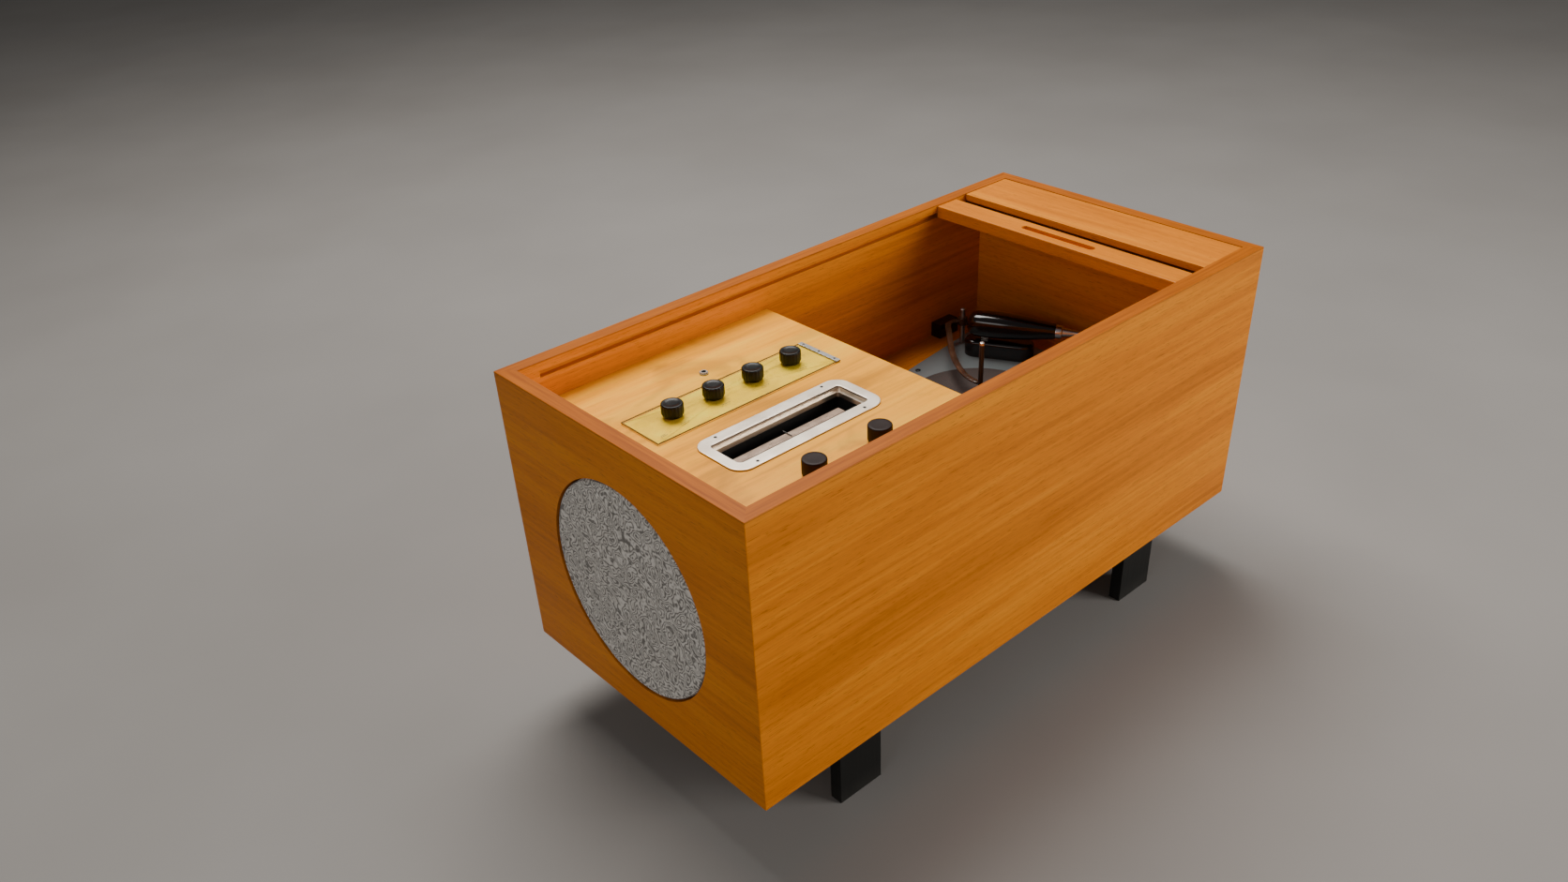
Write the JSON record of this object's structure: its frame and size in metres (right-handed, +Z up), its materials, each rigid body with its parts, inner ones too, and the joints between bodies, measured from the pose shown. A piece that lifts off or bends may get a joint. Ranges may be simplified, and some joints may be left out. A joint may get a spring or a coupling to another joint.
{
  "type": "radio phonograph console",
  "caption": "Table-height wooden radio phonograph console with a sliding tambour lid, a sunken control panel and record changer, an end-facing loudspeaker and board legs.",
  "frame": {"origin": "centre of the footprint, on the floor under the legs", "axes": "+X along the cabinet from the loudspeaker end to the lid's storage end, -Y towards the front side, +Z up"},
  "size_m": [0.914, 0.45, 0.497],
  "materials": {
    "cabinet_veneer": "satin",
    "panel_veneer": "gloss",
    "board": "matt",
    "tambour": "satin",
    "black_paint": "satin",
    "chrome": "polished",
    "steel": "plated",
    "copper_and_iron": "painted",
    "chassis_plate": "satin",
    "deck_enamel": "satin",
    "platter_enamel": "satin",
    "mat": "matt",
    "rubber": "matt",
    "brass_foil": "polished",
    "clear_plastic": "clear, gloss",
    "black_plastic": "gloss",
    "brown_bakelite": "gloss",
    "dark_bakelite": "gloss",
    "amber_plastic": "translucent, gloss",
    "scale_print": "satin",
    "grille_weave": "woven",
    "felt": "felted",
    "cone_paper": "matt",
    "valve_glass": "clear"
  },
  "bodies": {
    "cabinet": {"cabinet_bottom": "board", "cabinet_end_speaker": "cabinet_veneer", "cabinet_end_storage": "cabinet_veneer", "cabinet_side_back": "cabinet_veneer", "cabinet_side_front": "cabinet_veneer", "chassis_partition": "cabinet_veneer", "control_panel": "panel_veneer", "control_potentiometers": "steel", "deck_plate": "deck_enamel", "dial_scale": "scale_print", "dial_well": "dark_bakelite", "divider": "cabinet_veneer", "drive_motor": "copper_and_iron", "fixed_top_panel": "cabinet_veneer", "grille_cloth": "grille_weave", "grille_ring": "felt", "jack_socket": "chrome", "leg_back_speaker_end": "black_paint", "leg_back_storage_end": "black_paint", "leg_front_speaker_end": "black_paint", "leg_front_storage_end": "black_paint", "leg_rails": "black_paint", "motor_board": "cabinet_veneer", "power_transformer": "copper_and_iron", "radio_chassis": "chassis_plate", "record_arm_post": "steel", "speaker_baffle": "board", "speaker_cone": "cone_paper", "speaker_frame": "steel", "speaker_magnet": "copper_and_iron", "spindle": "chrome", "support_cleats": "board", "terminal_block": "dark_bakelite", "tone_plate": "brass_foil", "tone_plate_cover": "clear_plastic", "tonearm_base": "dark_bakelite", "trim_screws": "chrome", "tuning_gang": "steel", "valves": "valve_glass", "window_frame": "chrome"},
    "lid": {"lid_bar": "cabinet_veneer", "tambour_curtain": "tambour"},
    "bass_control": {"knob_bass": "black_plastic"},
    "treble_control": {"knob_treble": "black_plastic"},
    "band_switch": {"knob_band": "black_plastic"},
    "balance_control": {"knob_balance": "black_plastic"},
    "volume_control": {"knob_volume": "brown_bakelite"},
    "tuning_control": {"knob_tuning": "brown_bakelite"},
    "pointer": {"dial_pointer": "chrome"},
    "gang_shaft": {"gang_rotor": "steel"},
    "turntable": {"platter": "platter_enamel", "platter_mat": "mat"},
    "idler": {"idler_wheel": "rubber"},
    "motor_shaft": {"motor_pulley": "steel"},
    "arm_pivot": {"tonearm_yoke": "steel"},
    "pickup_arm": {"tonearm_shell": "dark_bakelite", "tonearm_tube": "chrome", "tonearm_head": "dark_bakelite"},
    "steadying_arm": {"record_arm": "amber_plastic"},
    "start_control": {"start_knob": "dark_bakelite"}
  },
  "joints": [
    {"name": "lid_slide", "type": "slide", "parent": "cabinet", "child": "lid", "axis": [1, 0, 0], "range_m": [-0.72, 0.0215], "deforming": ["tambour_curtain"]},
    {"name": "bass_turn", "type": "hinge", "parent": "cabinet", "child": "bass_control", "pos_m": [-0.325, 0.0615, 0.445], "axis": [0, 0, 1], "range_deg": [-150, 150]},
    {"name": "treble_turn", "type": "hinge", "parent": "cabinet", "child": "treble_control", "pos_m": [-0.2636, 0.0615, 0.445], "axis": [0, 0, 1], "range_deg": [-150, 150]},
    {"name": "band_turn", "type": "hinge", "parent": "cabinet", "child": "band_switch", "pos_m": [-0.2022, 0.0615, 0.445], "axis": [0, 0, 1], "range_deg": [-60, 60]},
    {"name": "balance_turn", "type": "hinge", "parent": "cabinet", "child": "balance_control", "pos_m": [-0.1408, 0.0615, 0.445], "axis": [0, 0, 1], "range_deg": [-150, 150]},
    {"name": "volume_turn", "type": "hinge", "parent": "cabinet", "child": "volume_control", "pos_m": [-0.297, -0.1495, 0.445], "axis": [0, 0, 1], "range_deg": [-150, 150]},
    {"name": "tuning_turn", "type": "hinge", "parent": "cabinet", "child": "tuning_control", "pos_m": [-0.1975, -0.1495, 0.445], "axis": [0, 0, 1], "range_deg": [-802, 802]},
    {"name": "pointer_slide", "type": "slide", "parent": "cabinet", "child": "pointer", "axis": [1, 0, 0], "range_m": [-0.0701, 0.0701]},
    {"name": "gang_turn", "type": "hinge", "parent": "cabinet", "child": "gang_shaft", "pos_m": [-0.241, -0.075, 0.3511], "axis": [0, 1, 0], "range_deg": [-90.1, 90.1]},
    {"name": "platter_spin", "type": "hinge", "parent": "cabinet", "child": "turntable", "pos_m": [0.143, -0.008, 0.292], "axis": [0, 0, 1], "continuous": true},
    {"name": "idler_spin", "type": "hinge", "parent": "cabinet", "child": "idler", "pos_m": [0.08711, -0.07461, 0.292], "axis": [0, 0, 1], "continuous": true},
    {"name": "motor_spin", "type": "hinge", "parent": "cabinet", "child": "motor_shaft", "pos_m": [0.10064, -0.05848, 0.292], "axis": [0, 0, 1], "continuous": true},
    {"name": "arm_swing", "type": "hinge", "parent": "cabinet", "child": "arm_pivot", "pos_m": [0.281, 0.101, 0.3395], "axis": [0, 0, 1], "range_deg": [-61, 0]},
    {"name": "arm_lift", "type": "hinge", "parent": "arm_pivot", "child": "pickup_arm", "pos_m": [0.281, 0.101, 0.3395], "axis": [-0.8755, -0.4833, 0], "range_deg": [0, 10]},
    {"name": "steadying_arm_swing", "type": "hinge", "parent": "cabinet", "child": "steadying_arm", "pos_m": [0.287, 0.151, 0.327], "axis": [0, 0, 1], "range_deg": [-35, 0]},
    {"name": "start_turn", "type": "hinge", "parent": "cabinet", "child": "start_control", "pos_m": [0.243, -0.137, 0.292], "axis": [0, 0, 1], "range_deg": [-45, 45]}
  ],
  "couplings": [
    {"joint": "pointer_slide", "follows": "tuning_turn", "m_per_rad": 0.005},
    {"joint": "gang_turn", "follows": "tuning_turn", "ratio": 0.1122},
    {"joint": "idler_spin", "follows": "platter_spin", "ratio": 6.4375},
    {"joint": "motor_spin", "follows": "platter_spin", "ratio": -20.6}
  ]
}
